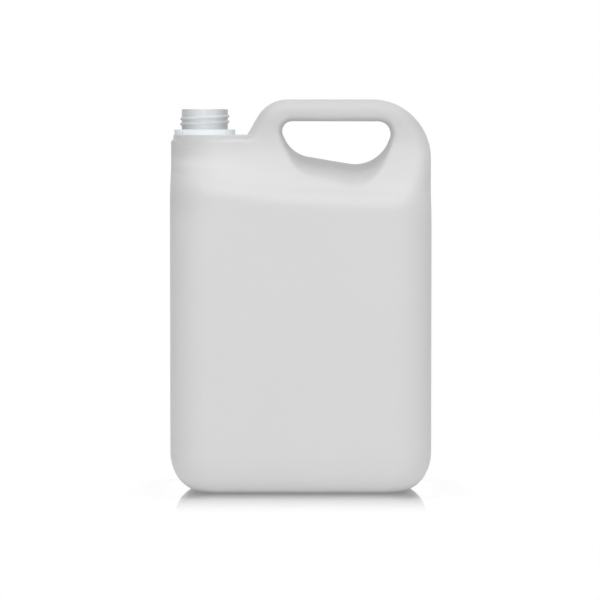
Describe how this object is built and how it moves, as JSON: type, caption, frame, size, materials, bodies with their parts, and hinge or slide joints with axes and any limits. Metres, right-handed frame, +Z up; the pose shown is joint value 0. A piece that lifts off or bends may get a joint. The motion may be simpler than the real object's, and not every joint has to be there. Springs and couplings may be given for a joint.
{
  "type": "plastic jerrycan",
  "caption": "Blow-moulded plastic jerrycan with rounded edges, a moulded-in top handle beside an offset screw neck, a sloping shoulder and an open mouth.",
  "frame": {"origin": "centre of the base on the surface that the can stands on", "axes": "+Z up, +X from the neck towards the handle's outer leg, -Y towards the front of the can"},
  "size_m": [0.196, 0.122, 0.2945],
  "materials": {
    "hdpe": "satin natural polyethylene, slightly see-through"
  },
  "bodies": {
    "root": {"jerrycan_body": "hdpe"}
  },
  "joints": []
}
